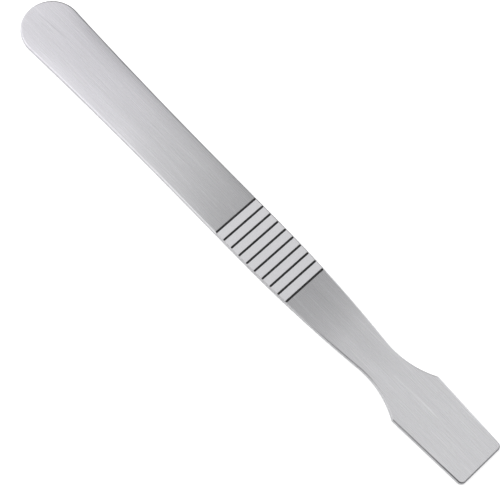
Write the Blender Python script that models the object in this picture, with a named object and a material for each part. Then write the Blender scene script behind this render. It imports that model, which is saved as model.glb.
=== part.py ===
"""Double-ended metal spudger: a flat steel pry tool with enamel-filled grip grooves.

The body is one stamped steel strip that lies flat, with its underside on z = 0.
+X points to the square blade, -X to the round spatula end, and the origin is
under the middle of the strip. Every groove in the finger grip holds its own
bar of hardened enamel, on the upper face and on the back face.
"""

import math

import bmesh
import bpy
from mathutils import Vector

MM = 0.001

# The steel strip.
LENGTH = 140.0 * MM
THICKNESS = 1.4 * MM
ROUND_END_WIDTH = 13.8 * MM
GRIP_WIDTH = 12.0 * MM
GRIP_START = 55.0 * MM          # from the tip of the round end to the parallel grip
FLANK_RADIUS = 320.0 * MM       # long curve from the grip down to the neck
NECK_WIDTH = 8.12 * MM
NECK_FROM_END = 29.8 * MM
BLADE_LENGTH = 19.3 * MM
SHOULDER_WIDTH = 13.7 * MM
BLADE_END_WIDTH = 12.0 * MM
SHOULDER_RADIUS = 0.5 * MM
BLADE_CORNER_RADIUS = 1.2 * MM
EDGE_RADIUS = 0.4 * MM          # the rim is tumbled round on both faces

# The finger grip.
GROOVE_COUNT = 10
GROOVE_PITCH = 2.35 * MM
GROOVE_WIDTH = 0.50 * MM
GROOVE_DEPTH = 0.20 * MM
GROOVE_INSET = 0.22 * MM        # from the side wall to the end of a groove
LAST_GROOVE_FROM_END = 52.3 * MM
ENAMEL_CLEARANCE = 0.02 * MM    # under a bar and all round it
ENAMEL_RECESS = 0.05 * MM       # from the steel face down to the enamel

# How finely the curves are divided.
ROUND_END_STEPS = 36
TAPER_STEPS = 10
FLANK_STEPS = 12
NECK_STEPS = 20
CORNER_STEPS = 8
EDGE_STEPS = 5
GROOVE_END_STEPS = 8
CUT_OVERSHOOT = 0.3 * MM        # how far a cutter stands out of the face it cuts

TIP_X = -LENGTH / 2.0
END_X = LENGTH / 2.0


def clear_scene():
    for existing in list(bpy.data.objects):
        bpy.data.objects.remove(existing, do_unlink=True)


def make_material(name, colour, roughness, metallic):
    material = bpy.data.materials.new(name)
    material.use_nodes = True
    shader = material.node_tree.nodes["Principled BSDF"]
    shader.inputs["Base Color"].default_value = (*colour, 1.0)
    shader.inputs["Roughness"].default_value = roughness
    shader.inputs["Metallic"].default_value = metallic
    return material


def arc_points(centre, radius, start, end, steps):
    """Points on a circle from one angle to the other, both ends included."""
    points = []
    for step in range(steps + 1):
        angle = start + (end - start) * step / steps
        points.append(centre + radius * Vector((math.cos(angle), math.sin(angle))))
    return points


def angle_to(centre, point):
    return math.atan2(point.y - centre.y, point.x - centre.x)


def rounded_corner(before, corner, after, radius, steps):
    """An arc that rounds the corner between two straight neighbours."""
    to_before = (before - corner).normalized()
    to_after = (after - corner).normalized()
    half_angle = to_before.angle(to_after) / 2.0
    reach = radius / math.tan(half_angle)
    centre = corner + (to_before + to_after).normalized() * radius / math.sin(half_angle)
    start = angle_to(centre, corner + to_before * reach)
    end = angle_to(centre, corner + to_after * reach)
    return arc_points(centre, radius, start, end, steps)


def round_end_curve():
    """The half-round tip, then the hollow taper that is tangent to it and to the grip."""
    tip_radius = ROUND_END_WIDTH / 2.0
    half_grip = GRIP_WIDTH / 2.0
    tip_centre = Vector((TIP_X + tip_radius, 0.0))
    run = GRIP_START - tip_radius
    drop = tip_radius - half_grip
    taper_radius = (run ** 2 + half_grip ** 2 - tip_radius ** 2) / (2.0 * drop)
    taper_centre = Vector((TIP_X + GRIP_START, half_grip + taper_radius))
    touch = angle_to(tip_centre, taper_centre)
    tip = arc_points(tip_centre, tip_radius, math.pi, touch, ROUND_END_STEPS)
    taper = arc_points(taper_centre, taper_radius, touch - math.pi, -math.pi / 2.0, TAPER_STEPS)
    return tip + taper[1:]


def neck_circle():
    """Centre and radius of the hollow neck, which ends at the corner of the shoulder."""
    neck_x = END_X - NECK_FROM_END
    half_neck = NECK_WIDTH / 2.0
    across = END_X - BLADE_LENGTH - neck_x
    rise = SHOULDER_WIDTH / 2.0 - half_neck
    radius = (across ** 2 + rise ** 2) / (2.0 * rise)
    return Vector((neck_x, half_neck + radius)), radius


def flank_circle_centre():
    """The flank is tangent to the straight side of the grip and to the neck."""
    neck_centre, neck_radius = neck_circle()
    y = GRIP_WIDTH / 2.0 - FLANK_RADIUS
    apart = FLANK_RADIUS + neck_radius
    return Vector((neck_centre.x - math.sqrt(apart ** 2 - (neck_centre.y - y) ** 2), y))


def neck_curve():
    """The bulging flank that leaves the grip, then the hollow neck up to the shoulder."""
    neck_centre, neck_radius = neck_circle()
    flank_centre = flank_circle_centre()
    shoulder = Vector((END_X - BLADE_LENGTH, SHOULDER_WIDTH / 2.0))
    touch = angle_to(flank_centre, neck_centre)
    flank = arc_points(flank_centre, FLANK_RADIUS, math.pi / 2.0, touch, FLANK_STEPS)
    neck = arc_points(neck_centre, neck_radius, touch - math.pi, angle_to(neck_centre, shoulder),
                      NECK_STEPS)
    return flank + neck[1:]


def blade_curve(last_neck_point):
    """The shoulder and the corner of the blade, both slightly rounded."""
    shoulder = Vector((END_X - BLADE_LENGTH, SHOULDER_WIDTH / 2.0))
    corner = Vector((END_X, BLADE_END_WIDTH / 2.0))
    end_middle = Vector((END_X, 0.0))
    points = rounded_corner(last_neck_point, shoulder, corner, SHOULDER_RADIUS, CORNER_STEPS)
    points += rounded_corner(shoulder, corner, end_middle, BLADE_CORNER_RADIUS, CORNER_STEPS)
    return points


def strip_outline():
    """The whole outline, clockwise from the round tip."""
    neck = neck_curve()
    neck.pop()
    upper = round_end_curve() + neck + blade_curve(neck[-1])
    lower = [Vector((point.x, -point.y)) for point in reversed(upper[1:])]
    return upper + lower


def extruded_mesh(name, outline, bottom_z, height):
    """A closed prism: the outline drawn at one height and raised to another."""
    mesh = bpy.data.meshes.new(name)
    builder = bmesh.new()
    floor = [builder.verts.new((point.x, point.y, bottom_z)) for point in outline]
    face = builder.faces.new(floor)
    extruded = bmesh.ops.extrude_face_region(builder, geom=[face])
    raised = [item for item in extruded["geom"] if isinstance(item, bmesh.types.BMVert)]
    bmesh.ops.translate(builder, verts=raised, vec=(0.0, 0.0, height))
    bmesh.ops.recalc_face_normals(builder, faces=builder.faces)
    builder.to_mesh(mesh)
    builder.free()
    return mesh


def slot_mesh(name, width, length, height):
    """A bar across the strip with half-round ends and its middle on the origin."""
    radius = width / 2.0
    end = Vector((0.0, length / 2.0 - radius))
    outline = arc_points(end, radius, 0.0, math.pi, GROOVE_END_STEPS)
    outline += arc_points(-end, radius, math.pi, 2.0 * math.pi, GROOVE_END_STEPS)
    return extruded_mesh(name, outline, -height / 2.0, height)


def place(name, mesh, location=(0.0, 0.0, 0.0)):
    item = bpy.data.objects.new(name, mesh)
    item.location = location
    bpy.context.scene.collection.objects.link(item)
    return item


def groove_positions():
    """Groove centres along X, from the round end to the blade."""
    last = END_X - LAST_GROOVE_FROM_END
    return [last - GROOVE_PITCH * back for back in reversed(range(GROOVE_COUNT))]


def groove_length(x):
    """A groove crosses the strip and stops in the rounding of the rim on each side."""
    flank_centre = flank_circle_centre()
    past_grip = max(0.0, x - flank_centre.x)
    half_width = flank_centre.y + math.sqrt(FLANK_RADIUS ** 2 - past_grip ** 2)
    return 2.0 * (half_width - GROOVE_INSET)


def cut_grooves(body):
    """One cutter for each groove of the upper face and of the back face."""
    height = GROOVE_DEPTH + CUT_OVERSHOOT
    top_z = THICKNESS - GROOVE_DEPTH + height / 2.0
    back_z = GROOVE_DEPTH - height / 2.0
    for number, x in enumerate(groove_positions(), start=1):
        mesh = slot_mesh("groove_cutter", GROOVE_WIDTH, groove_length(x), height)
        for face_name, z in (("top", top_z), ("back", back_z)):
            cutter = place(f"cut_{face_name}_{number:02d}", mesh, (x, 0.0, z))
            cutter.hide_render = True
            cutter.display_type = "WIRE"
            cut = body.modifiers.new(cutter.name, "BOOLEAN")
            cut.operation = "DIFFERENCE"
            cut.solver = "EXACT"
            cut.object = cutter


def build_steel_body():
    mesh = extruded_mesh("steel_body", strip_outline(), 0.0, THICKNESS)
    mesh.materials.append(make_material("brushed_steel", (0.62, 0.62, 0.63), 0.34, 1.0))
    body = place("steel_body", mesh)
    rim = body.modifiers.new("tumbled_rim", "BEVEL")
    rim.width = EDGE_RADIUS
    rim.segments = EDGE_STEPS
    rim.limit_method = "ANGLE"
    rim.angle_limit = math.radians(60.0)
    cut_grooves(body)
    mesh.shade_smooth()
    mesh.set_sharp_from_angle(angle=math.radians(40.0))


def build_enamel():
    """The bars of black enamel, each in its own groove and a little below the steel face."""
    enamel = make_material("black_enamel", (0.012, 0.012, 0.013), 0.42, 0.0)
    gap = ENAMEL_CLEARANCE
    width = GROOVE_WIDTH - 2.0 * gap
    height = GROOVE_DEPTH - ENAMEL_RECESS - gap
    back_z = ENAMEL_RECESS + height / 2.0
    for number, x in enumerate(groove_positions(), start=1):
        mesh = slot_mesh("enamel_bar", width, groove_length(x) - 2.0 * gap, height)
        mesh.materials.append(enamel)
        for face_name, z in (("top", THICKNESS - back_z), ("back", back_z)):
            place(f"enamel_line_{face_name}_{number:02d}", mesh, (x, 0.0, z))


def main():
    clear_scene()
    build_steel_body()
    build_enamel()


main()
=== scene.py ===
# %% [markdown]
# # A double-ended steel spudger
#
# A spudger is the flat prying tool that lifts covers and connectors on a repair bench. This
# one is a single strip of stainless steel with a round end, a ribbed grip and a square blade.
# Ten fine grooves cross the grip on each face, and each is filled with black enamel.
# The strip and its enamel lines come from the CAD model, already in their true places.
# Nothing is moved or reshaped here: the lesson is about finish, light and camera.

# %% Load the strip
import math

import bmesh
import bpy
from mathutils import Matrix, Vector


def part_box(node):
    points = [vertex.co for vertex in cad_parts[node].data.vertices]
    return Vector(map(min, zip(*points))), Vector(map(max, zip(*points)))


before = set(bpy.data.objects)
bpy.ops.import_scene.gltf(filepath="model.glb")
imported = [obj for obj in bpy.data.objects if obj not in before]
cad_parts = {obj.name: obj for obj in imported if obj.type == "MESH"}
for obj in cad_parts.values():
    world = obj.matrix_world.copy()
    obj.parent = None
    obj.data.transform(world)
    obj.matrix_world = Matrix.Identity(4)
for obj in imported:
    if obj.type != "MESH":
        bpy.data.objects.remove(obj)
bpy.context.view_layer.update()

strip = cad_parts["steel_body"]
lines = [node for name, node in sorted(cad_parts.items()) if name.startswith("enamel_line")]

# %% [markdown]
# ## The viewpoint
#
# The tool is seen from above and a little to one side, lying along a diagonal with the round
# end far away and the blade near. A camera can be turned by dragging it, but a written
# viewpoint is easier to repeat: a turn round the tool, a height above the bench, a tilt of
# the horizon and a distance. A long lens keeps the two ends close to their true sizes.

# %% Place the camera
MM = 0.001
TURN = math.radians(38.82)
HEIGHT = math.radians(70.973)
TILT = math.radians(8.318)
DISTANCE = 323.42 * MM
AIM = Vector((4.257, -3.109, 1.4)) * MM
LENS = 110.0             # millimetres, as the camera wants it
SENSOR_WIDTH = 36.0

toward_camera = Vector((
    math.sin(TURN) * math.cos(HEIGHT),
    -math.cos(TURN) * math.cos(HEIGHT),
    math.sin(HEIGHT),
))
level_right = Vector((math.cos(TURN), math.sin(TURN), 0.0))
level_up = toward_camera.cross(level_right)
right = level_right * math.cos(TILT) + level_up * math.sin(TILT)
up = level_up * math.cos(TILT) - level_right * math.sin(TILT)

camera_data = bpy.data.cameras.new("bench_camera")
camera_data.lens = LENS
camera_data.sensor_width = SENSOR_WIDTH
camera_data.clip_start = 0.01
camera_data.clip_end = 20.0
camera = bpy.data.objects.new("bench_camera", camera_data)
bpy.context.scene.collection.objects.link(camera)
turned = Matrix((right, up, toward_camera)).transposed().to_4x4()
camera.matrix_world = Matrix.Translation(AIM + toward_camera * DISTANCE) @ turned
bpy.context.scene.camera = camera
print(f"camera {camera.location.length * 1000:.0f} mm from the middle of the strip")

# %% [markdown]
# ## A clean rim from a faceted part
#
# The real rim is tumbled until it is round, so light slides round it without a break. The
# CAD part reaches Blender as loose flat triangles, which would show as steps. Its points must
# stay where they are, so the repair is done with modifiers: weld the loose corners, merge the
# triangles that lie in one plane, split the mesh at the sharp groove edges, and let the
# wide faces decide which way the surface points.

# %% Smooth the rims
WELD_GAP = 0.001 * MM
FLAT_WITHIN = math.radians(0.1)
SHARP_FROM = math.radians(40)


def smooth_rims(part):
    mesh = part.data
    if "custom_normal" in mesh.attributes:
        mesh.attributes.remove(mesh.attributes["custom_normal"])
    mesh.polygons.foreach_set("use_smooth", [True] * len(mesh.polygons))
    weld = part.modifiers.new("weld_corners", "WELD")
    weld.merge_threshold = WELD_GAP
    flat = part.modifiers.new("merge_flat_faces", "DECIMATE")
    flat.decimate_type = "DISSOLVE"
    flat.angle_limit = FLAT_WITHIN
    split = part.modifiers.new("split_groove_edges", "EDGE_SPLIT")
    split.use_edge_sharp = False
    split.split_angle = SHARP_FROM
    weigh = part.modifiers.new("wide_faces_lead", "WEIGHTED_NORMAL")
    weigh.keep_sharp = True


for part in [strip] + lines:
    smooth_rims(part)
print(f"smoothed {1 + len(lines)} parts")

# %% [markdown]
# ## Where each finish belongs
#
# A finish on a real tool depends on place: the faces were ground along their length, the
# walls were sheared and tumbled, and the grip was blasted. One way to say this is to paint
# masks by hand. Here the masks are worked out from the position on the strip and from the
# direction that the surface faces, so they stay exact and need nothing painted. Three small
# helpers build the sums: plug in a number or a socket, combine two values, fade between two.

# %% Start the steel finish
steel = bpy.data.materials.new("brushed_strip_steel")
steel.use_nodes = True
steel_nodes = steel.node_tree.nodes
steel_links = steel.node_tree.links
steel_shader = next(n for n in steel_nodes if n.type == "BSDF_PRINCIPLED")
steel_place = steel_nodes.new("ShaderNodeTexCoord").outputs["Object"]


def plug(material, value, socket):
    if isinstance(value, (int, float)):
        socket.default_value = value
    else:
        material.node_tree.links.new(value, socket)


def combine(material, how, first, second):
    node = material.node_tree.nodes.new("ShaderNodeMath")
    node.operation = how
    plug(material, first, node.inputs[0])
    plug(material, second, node.inputs[1])
    return node.outputs[0]


def fade(material, value, start, end, low=0.0, high=1.0):
    node = material.node_tree.nodes.new("ShaderNodeMapRange")
    node.interpolation_type = "SMOOTHSTEP"
    plug(material, value, node.inputs["Value"])
    node.inputs["From Min"].default_value = start
    node.inputs["From Max"].default_value = end
    node.inputs["To Min"].default_value = low
    node.inputs["To Max"].default_value = high
    return node.outputs["Result"]


place_parts = steel_nodes.new("ShaderNodeSeparateXYZ")
steel_links.new(steel_place, place_parts.inputs[0])
along, across = place_parts.outputs[:2]
print("steel finish started, with the place along and across the strip")

# %% [markdown]
# ## Masks for the walls, the rims and the grip
#
# On the real strip the walls stand upright, the rims roll over and the faces lie flat. How
# far a point of the surface tips away from level tells the three apart. The blasted grip is
# found by place instead: it runs from the first enamel line to the last. Each mask has a soft
# edge, so that one finish doesn't meet the next in a hard step.

# %% Mask the walls, the rims and the blasted grip
facing = steel_nodes.new("ShaderNodeSeparateXYZ")
steel_links.new(steel_nodes.new("ShaderNodeNewGeometry").outputs["Normal"], facing.inputs[0])
flatness = combine(steel, "ABSOLUTE", facing.outputs["Z"], 0.0)
wall = fade(steel, flatness, 0.45, 0.15)
rim = fade(steel, flatness, 0.995, 0.95)

line_boxes = [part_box(node.name) for node in lines]
first_line = min((low.x + high.x) / 2 for low, high in line_boxes)
last_line = max((low.x + high.x) / 2 for low, high in line_boxes)
SOFT_EDGE = 0.05 * MM
past_first = fade(steel, along, first_line - SOFT_EDGE, first_line + SOFT_EDGE)
before_last = fade(steel, along, last_line + SOFT_EDGE, last_line - SOFT_EDGE)
blasted = combine(steel, "MULTIPLY", past_first, before_last)
print(f"blasted grip from {first_line * 1000:.2f} to {last_line * 1000:.2f} mm")

# %% [markdown]
# ## The ground faces
#
# The strip was ground with an abrasive belt that ran along its length. Every grain of the
# belt left a long fine furrow, so the face is made of lines at several sizes: hair-fine
# furrows, wider streaks, and a few long stray scratches. A wave pattern would repeat, so each
# layer is noise that is squeezed across the strip and stretched along it.

# %% Cut the furrows and streaks
def brushed_noise(material, place, along_rate, across_rate, detail, lean=0.0):
    turn = material.node_tree.nodes.new("ShaderNodeMapping")
    turn.inputs["Rotation"].default_value = (0.0, 0.0, math.radians(lean))
    turn.inputs["Scale"].default_value = (along_rate, across_rate, across_rate)
    material.node_tree.links.new(place, turn.inputs["Vector"])
    noise = material.node_tree.nodes.new("ShaderNodeTexNoise")
    noise.inputs["Scale"].default_value = 1.0
    noise.inputs["Detail"].default_value = detail
    noise.inputs["Roughness"].default_value = 0.55
    material.node_tree.links.new(turn.outputs[0], noise.inputs["Vector"])
    return noise.outputs[0]


furrows = brushed_noise(steel, steel_place, along_rate=160.0, across_rate=9000.0, detail=2.0)
streaks = brushed_noise(steel, steel_place, along_rate=80.0, across_rate=1700.0, detail=3.0)
drifts = brushed_noise(steel, steel_place, along_rate=18.0, across_rate=260.0, detail=2.0)
print("furrows about 0.1 mm apart, streaks about 0.6 mm, drifts about 4 mm")

# %% [markdown]
# ## Stray scratches
#
# A coarse grain on the belt, or a slide over the bench, leaves a bolder scratch that leans a
# few degrees off the grinding. Drawing each one would take long and look too regular. Here the
# stretched noise is turned by a small angle, and only its highest crests are kept.

# %% Add stray scratches
scratch_layers = []
for lean, rate in ((3.0, 2600.0), (-5.0, 3400.0), (11.0, 3000.0)):
    strokes = brushed_noise(steel, steel_place, 70.0, rate, detail=1.0, lean=lean)
    scratch_layers.append(fade(steel, strokes, 0.66, 0.74))
scratches = combine(steel, "MAXIMUM", scratch_layers[0], scratch_layers[1])
scratches = combine(steel, "MAXIMUM", scratches, scratch_layers[2])
print(f"{len(scratch_layers)} layers of scratches")

# %% [markdown]
# ## Beads on the grip and tears on the walls
#
# Between the first and the last line the steel was blasted with fine beads. That breaks up
# the mirror in it, so the grip looks lighter and dull beside the ground steel. The walls
# were sheared by the punch, which leaves fine upright tears that the tumbling softens. Both
# are noise: one with even grains for the beads, one stretched upright for the tears.

# %% Roughen the grip and the walls
def speckle(material, place, rate, detail):
    noise = material.node_tree.nodes.new("ShaderNodeTexNoise")
    noise.inputs["Scale"].default_value = rate
    noise.inputs["Detail"].default_value = detail
    material.node_tree.links.new(place, noise.inputs["Vector"])
    return noise.outputs[0]


beads = speckle(steel, steel_place, 5200.0, 2.0)
tear_map = steel_nodes.new("ShaderNodeMapping")
tear_map.inputs["Scale"].default_value = (5200.0, 5200.0, 500.0)
steel_links.new(steel_place, tear_map.inputs["Vector"])
tears = speckle(steel, tear_map.outputs[0], 1.0, 2.0)
print("beads about 0.2 mm across")

# %% [markdown]
# ## Tone of the ground steel
#
# Stainless steel is a pale grey, but the strip here is not one even tone. Beside the grip, where
# finger and thumb rest, its colour is darkened as painted shade, standing in for the shadow and
# dark reflection of a holding hand, and the painted shade fades towards both ends.
# The streaks, drifts and scratches of the grinding each add a little light and dark. One
# helper turns a list of places and tones into a smooth run along the strip.

# %% Paint the hand's shade beside the grip
def graded(material, value, stops):
    nodes = material.node_tree.nodes
    low, high = stops[0][0], stops[-1][0]
    peak = max(tone_there for at, tone_there in stops)
    slot = nodes.new("ShaderNodeMapRange")
    slot.inputs["From Min"].default_value = low
    slot.inputs["From Max"].default_value = high
    plug(material, value, slot.inputs["Value"])
    ramp = nodes.new("ShaderNodeValToRGB")
    plug(material, slot.outputs["Result"], ramp.inputs[0])
    marks = ramp.color_ramp.elements
    while len(marks) < len(stops):
        marks.new(0.5)
    for mark, (at, tone_there) in zip(marks, stops):
        mark.position = (at - low) / (high - low)
        mark.color = (tone_there / peak, tone_there / peak, tone_there / peak, 1.0)
    return combine(material, "MULTIPLY", ramp.outputs["Color"], peak)


# painted shade: darker colour beside the grip stands in for the shadow and reflection of the hand
grip_painted_shade = graded(steel, along, [(x * MM, tone_there) for x, tone_there in (
    (-68, 1.03), (-54, 1.005), (-43, 1.015), (-34, 1.01), (-16, 0.90), (-4, 0.76),
    (18, 0.70), (23, 0.735), (28, 0.82), (32, 0.93), (44, 1.00),
)])
face_tone = combine(steel, "MULTIPLY", grip_painted_shade, fade(steel, streaks, 0.25, 0.75, 0.985, 1.015))
face_tone = combine(steel, "MULTIPLY", face_tone, fade(steel, drifts, 0.25, 0.75, 0.975, 1.025))
face_tone = combine(steel, "MULTIPLY", face_tone, fade(steel, scratches, 0.0, 1.0, 1.0, 1.07))
grip_tone = fade(steel, beads, 0.3, 0.7, 1.28, 1.36)
print("face dulled to 0.70 at the blade side of the grip, blasted steel at 1.28 to 1.36")

# %% [markdown]
# ## Marks of use
#
# A pry tool picks up a few long marks where it slid along a metal seam. They can't be left to
# noise, because a real tool has only a handful and each has its own place. Each one here is a
# thin straight line between two points in millimetres, faded at both ends. The grip is then
# laid over the face with its own lighter tone, through one more helper.

# %% Draw the long marks
def lay_over(material, mask, under, over):
    node = material.node_tree.nodes.new("ShaderNodeMix")
    plug(material, mask, node.inputs["Factor"])
    plug(material, under, node.inputs["A"])
    plug(material, over, node.inputs["B"])
    return node.outputs["Result"]


def long_mark(start, end, width):
    slope = (end[1] - start[1]) / (end[0] - start[0])
    level = combine(steel, "SUBTRACT", across, (start[1] - slope * start[0]) * MM)
    level = combine(steel, "SUBTRACT", level, combine(steel, "MULTIPLY", along, slope))
    line = fade(steel, combine(steel, "ABSOLUTE", level, 0.0), width * MM, 0.0)
    begins = fade(steel, along, start[0] * MM, (start[0] + 1.5) * MM)
    stops = fade(steel, along, end[0] * MM, (end[0] - 3.0) * MM)
    return combine(steel, "MULTIPLY", line, combine(steel, "MULTIPLY", begins, stops))


# Each mark has a start, an end, a width and a tone.
long_marks = (
    ((43.5, 0.1), (58.0, 0.5), 0.30, 1.08),
    ((49.0, -0.5), (56.0, -0.3), 0.22, 1.06),
    ((57.0, -2.6), (66.0, -2.2), 0.25, 1.05),
    ((-68.5, 0.0), (-58.0, 1.0), 0.26, 0.91),
    ((-66.5, -0.9), (-60.0, -0.3), 0.22, 0.92),
)
for start, end, width, tone_there in long_marks:
    mark = long_mark(start, end, width)
    face_tone = combine(steel, "MULTIPLY", face_tone, fade(steel, mark, 0.0, 1.0, 1.0, tone_there))
tone = lay_over(steel, blasted, face_tone, grip_tone)
print(f"{len(long_marks)} long marks")

# %% [markdown]
# ## Painted shade and highlight on the rims
#
# The rims carry painted light and shade in their colour, standing in for the bright and dark
# reflections of the room and the shade beside the strip, and it is never even. On the near side
# the rim is painted lighter along the round half, while painted shade builds up along the neck and
# blade and is darkest at the blade's corner. On the far side the painted shade sits on the round
# end instead. Each side gets its own run of tones, and the flat middle of the wall keeps one even,
# slightly darker tone.

# %% Paint shade and highlight on the rims
PLAIN_WALL_TONE = 0.90
# painted highlight on the near rim of the round half, painted shade along the neck and blade,
# darkest at the blade's corner
near_rim_painted_light = graded(steel, along, [(x * MM, tone_there) for x, tone_there in (
    (-70, 1.08), (24, 1.05), (31, 0.68), (38, 0.74), (53, 0.74),
    (62, 0.55), (66, 0.44), (69, 0.28), (69.6, 0.52), (70, 0.68),
)])
# painted shade on the far rim of the round end
far_rim_painted_shade = graded(steel, along, [(x * MM, tone_there) for x, tone_there in (
    (-70, 0.34), (-40, 0.34), (-20, 0.48), (18, 1.00), (62, 1.05), (67, 0.80), (70, 0.68),
)])
rim_painted_light = lay_over(steel, fade(steel, across, 0.0, 4 * MM), near_rim_painted_light, far_rim_painted_shade)
rim_painted_light = lay_over(steel, fade(steel, flatness, 0.80, 0.40), rim_painted_light, PLAIN_WALL_TONE)
edge_tone = combine(steel, "MULTIPLY", rim_painted_light, fade(steel, tears, 0.3, 0.7, 0.9, 1.1))
tone = lay_over(steel, rim, tone, edge_tone)
print("rims stained from 1.08 down to 0.28")

# %% [markdown]
# ## A cool tint
#
# The round end has a faint violet cast and the rest of the strip is a plain cool grey. Two
# tints are mixed along the strip, and the tone from the cells above scales the result.

# %% Tint the steel
tint = steel_nodes.new("ShaderNodeMix")
tint.data_type = "RGBA"
violet_end, plain_end = [socket for socket in tint.inputs if socket.type == "RGBA"]
violet_end.default_value = (0.566, 0.558, 0.588, 1.0)
plain_end.default_value = (0.566, 0.5645, 0.579, 1.0)
steel_links.new(fade(steel, along, -55 * MM, -10 * MM), tint.inputs["Factor"])
steel_colour = steel_nodes.new("ShaderNodeVectorMath")
steel_colour.operation = "SCALE"
mixed_tint = next(socket for socket in tint.outputs if socket.type == "RGBA")
steel_links.new(mixed_tint, steel_colour.inputs[0])
steel_links.new(tone, steel_colour.inputs["Scale"])
steel_links.new(steel_colour.outputs[0], steel_shader.inputs["Base Color"])
steel_shader.inputs["Metallic"].default_value = 1.0
print("steel tinted")

# %% [markdown]
# ## Sheen of the steel
#
# Long furrows smear a reflection sideways and keep it sharp lengthways. That is what makes
# steel look brushed, so the shader is told that its roughness has a direction. The tangent
# runs round the long axis of the strip, which is across the furrows.

# %% Set roughness and direction
GRIP_ROUGHNESS = 0.55
WALL_ROUGHNESS = 0.5
ground_sheen = fade(steel, furrows, 0.25, 0.75, 0.23, 0.31)
sheen = lay_over(steel, blasted, ground_sheen, GRIP_ROUGHNESS)
sheen = lay_over(steel, wall, sheen, WALL_ROUGHNESS)
steel_links.new(sheen, steel_shader.inputs["Roughness"])
steel_shader.inputs["Anisotropic"].default_value = 0.8
around = steel_nodes.new("ShaderNodeTangent")
around.direction_type = "RADIAL"
around.axis = "X"
steel_links.new(around.outputs[0], steel_shader.inputs["Tangent"])
print(f"faces rough 0.23 to 0.31, grip {GRIP_ROUGHNESS}, walls {WALL_ROUGHNESS}")

# %% [markdown]
# ## Relief of the grinding
#
# The furrows are a few thousandths of a millimetre deep, far too fine to model, so a bump
# tilts the shading and leaves the shape alone. Furrows, streaks and scratches share one
# relief on the faces. The beads take its place on the grip, and the tears on the walls.

# %% Raise the relief
RELIEF_HEIGHT = 0.004 * MM
relief = combine(steel, "MULTIPLY", furrows, 0.5)
relief = combine(steel, "ADD", relief, combine(steel, "MULTIPLY", streaks, 0.3))
relief = combine(steel, "SUBTRACT", relief, combine(steel, "MULTIPLY", scratches, 0.5))
relief = lay_over(steel, blasted, relief, beads)
relief = lay_over(steel, wall, relief, tears)
steel_bump = steel_nodes.new("ShaderNodeBump")
steel_bump.inputs["Strength"].default_value = 0.5
steel_bump.inputs["Distance"].default_value = RELIEF_HEIGHT
steel_links.new(relief, steel_bump.inputs["Height"])
steel_links.new(steel_bump.outputs[0], steel_shader.inputs["Normal"])
print(f"relief of {RELIEF_HEIGHT * 1000:.3f} mm on the steel")

# %% [markdown]
# ## Crown of the round half
#
# The belt takes a little more metal near the rims of the round half, so the face there is
# very slightly crowned. Nobody would see that as shape, yet it steers the light across the
# face, so it is a second bump under the first. It is part of a large circle plus a fourth
# power of the distance from the middle, which rolls the face off near the rims. It fades out
# across the grip, and it is weaker at the very tip. Its heights are in metres, so the bump's
# distance is one.

# %% Crown the round half
CROWN_RADIUS = 250 * MM
ROLL_OFF = 8.0e4         # per cubic metre
squared = combine(steel, "MULTIPLY", across, across)
crown = combine(steel, "MULTIPLY", squared, 1 / (2 * CROWN_RADIUS))
roll = combine(steel, "MULTIPLY", combine(steel, "MULTIPLY", squared, squared), ROLL_OFF)
crown = combine(steel, "ADD", crown, roll)
crown = combine(steel, "MULTIPLY", crown, fade(steel, along, last_line, first_line - 10 * MM))
crown = combine(steel, "MULTIPLY", crown, fade(steel, along, -68 * MM, -54 * MM, 0.2, 1.0))
crown_bump = steel_nodes.new("ShaderNodeBump")
crown_bump.invert = True
crown_bump.inputs["Distance"].default_value = 1.0
steel_links.new(crown, crown_bump.inputs["Height"])
steel_links.new(crown_bump.outputs[0], steel_bump.inputs["Normal"])
strip.material_slots[0].material = steel
print(f"crown of {CROWN_RADIUS * 1000:.0f} mm radius on the round half")

# %% [markdown]
# ## The enamel lines
#
# Black enamel is flooded into each groove and wiped off the face. It dries a little below
# the steel, with a soft shine, fine ripples and some greyness where the wipe dragged over it.

# %% Mix the enamel
enamel = bpy.data.materials.new("groove_enamel")
enamel.use_nodes = True
enamel_nodes = enamel.node_tree.nodes
enamel_links = enamel.node_tree.links
enamel_shader = next(n for n in enamel_nodes if n.type == "BSDF_PRINCIPLED")
enamel_place = enamel_nodes.new("ShaderNodeTexCoord").outputs["Object"]

wiped = speckle(enamel, enamel_place, 1500.0, 3.0)
wiped_tone = fade(enamel, wiped, 0.3, 0.75, 0.010, 0.026)
enamel_colour = enamel_nodes.new("ShaderNodeVectorMath")
enamel_colour.operation = "SCALE"
enamel_colour.inputs[0].default_value = (1.0, 1.0, 1.04)
enamel_links.new(wiped_tone, enamel_colour.inputs["Scale"])
enamel_links.new(enamel_colour.outputs[0], enamel_shader.inputs["Base Color"])
enamel_links.new(fade(enamel, wiped, 0.3, 0.75, 0.34, 0.58), enamel_shader.inputs["Roughness"])
enamel_shader.inputs["Specular IOR Level"].default_value = 0.3

ripples = speckle(enamel, enamel_place, 4200.0, 2.0)
enamel_bump = enamel_nodes.new("ShaderNodeBump")
enamel_bump.inputs["Strength"].default_value = 0.6
enamel_bump.inputs["Distance"].default_value = 0.006 * MM
enamel_links.new(ripples, enamel_bump.inputs["Height"])
enamel_links.new(enamel_bump.outputs[0], enamel_shader.inputs["Normal"])
for line in lines:
    line.material_slots[0].material = enamel
print(f"enamel on {len(lines)} lines")

# %% [markdown]
# ## The bench top
#
# The tool lies on a plain pale sheet. A round sheet has no corner to show at any angle, and
# it is far larger than the tool so that its edge stays out of sight. It glows a little, as
# paper does on a light table, so that the tool casts almost no shadow.

# %% Lay the sheet
SHEET_RADIUS = 1.6
SHEET_GLOW = 0.5
sheet_mesh = bpy.data.meshes.new("pale_sheet")
sheet_shape = bmesh.new()
bmesh.ops.create_circle(sheet_shape, cap_ends=True, segments=96, radius=SHEET_RADIUS)
sheet_shape.to_mesh(sheet_mesh)
sheet_shape.free()
sheet = bpy.data.objects.new("pale_sheet", sheet_mesh)
bpy.context.scene.collection.objects.link(sheet)

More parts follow.
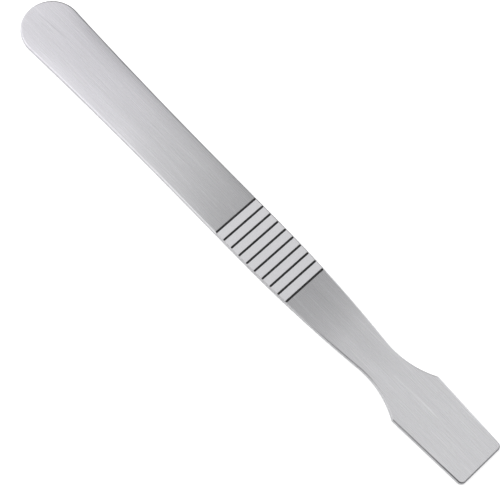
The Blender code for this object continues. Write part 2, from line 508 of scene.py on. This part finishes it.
paper = bpy.data.materials.new("pale_sheet_paper")
paper.use_nodes = True
paper_shader = next(n for n in paper.node_tree.nodes if n.type == "BSDF_PRINCIPLED")
paper_shader.inputs["Base Color"].default_value = (0.92, 0.92, 0.92, 1.0)
paper_shader.inputs["Roughness"].default_value = 0.9
paper_shader.inputs["Specular IOR Level"].default_value = 0.1
paper_shader.inputs["Emission Color"].default_value = (1.0, 1.0, 1.0, 1.0)
paper_shader.inputs["Emission Strength"].default_value = SHEET_GLOW
sheet_mesh.materials.append(paper)
print(f"sheet {SHEET_RADIUS * 2:.1f} m across")

# %% [markdown]
# ## Studio light
#
# Polished metal shows the room more than itself, so the room is the light. A plain white tent
# would make the strip one flat grey. So the tent is shaded by direction, which the world can
# do with nothing but the way that a ray points.

# %% Open the tent
tent = bpy.data.worlds.new("white_tent")
bpy.context.scene.world = tent
tent.use_nodes = True
tent_nodes = tent.node_tree.nodes
tent_links = tent.node_tree.links
backdrop = next(n for n in tent_nodes if n.type == "BACKGROUND")
direction = tent_nodes.new("ShaderNodeSeparateXYZ")
tent_links.new(tent_nodes.new("ShaderNodeTexCoord").outputs["Generated"], direction.inputs[0])
east, north, sky = direction.outputs
print("tent ready to shade")

# %% [markdown]
# ## The roof of the tent
#
# The flat faces look up, so they mirror the roof. A run of tones from west to east gives the
# slow change along the strip, paler above the round end. Two fades to the sides shade what
# only the crowned half can see. Area lamps could do this too, but each would show as a block
# of light in the steel.

# %% Shade the roof of the tent
roof = graded(tent, east, [
    (-0.45, 1.39), (-0.38, 1.30), (-0.31, 1.21), (-0.26, 1.09),
    (-0.18, 0.80), (-0.12, 1.00), (-0.06, 1.09), (0.05, 1.12), (0.12, 1.15), (0.35, 0.45),
])
near_tone = fade(tent, east, -0.05, -0.28, 0.55, 1.4)
far_tone = fade(tent, east, -0.12, -0.30, 1.0, 0.12)
near_tone = lay_over(tent, fade(tent, north, 0.15, -0.30), 1.0, near_tone)
far_tone = lay_over(tent, fade(tent, north, 0.27, 0.58), 1.0, far_tone)
roof = combine(tent, "MULTIPLY", roof, combine(tent, "MULTIPLY", near_tone, far_tone))
print("roof shaded from the round end to the blade")

# %% [markdown]
# ## The walls of the tent
#
# The rims look outwards, so they mirror the walls of the tent. There the tone follows the
# bearing: a light wall draws a bright rim, and a dim one draws the thin dark line that makes
# an edge easy to read. The walls blend into the roof between 0.45 and 0.80 of the full
# height. The foot of the tent is dimmer, so that a low look along the strip isn't glaring, and
# so is the part below the bench, for a look at the underside.

# %% Shade the walls of the tent
bearing = combine(tent, "ARCTAN2", north, east)
sides = graded(tent, bearing, [(math.radians(angle), tone_there) for angle, tone_there in (
    (-180, 1.10), (-160, 1.40), (-135, 1.20), (-118, 1.50), (-104, 1.50), (-97, 0.60),
    (-75, 0.30), (-45, 0.55), (-32, 0.25), (-18, 0.55), (20, 0.55), (45, 0.90),
    (70, 1.35), (93, 1.35), (105, 0.75), (145, 0.70), (180, 1.10),
)])
sides = combine(tent, "MULTIPLY", sides, fade(tent, sky, 0.10, 0.25, 0.82, 1.0))
tent_tone = lay_over(tent, fade(tent, sky, 0.45, 0.80), sides, roof)
tent_tone = lay_over(tent, fade(tent, sky, -0.05, -0.30), tent_tone, 0.9)
tent_links.new(tent_tone, backdrop.inputs["Color"])
print("walls shaded by bearing")

# %% [markdown]
# ## Finish
#
# The tones are shown as the light made them, with no film curve, so that the pale sheet stays
# pale.

# %% Show the finished setup
bpy.context.scene.view_settings.view_transform = "Standard"
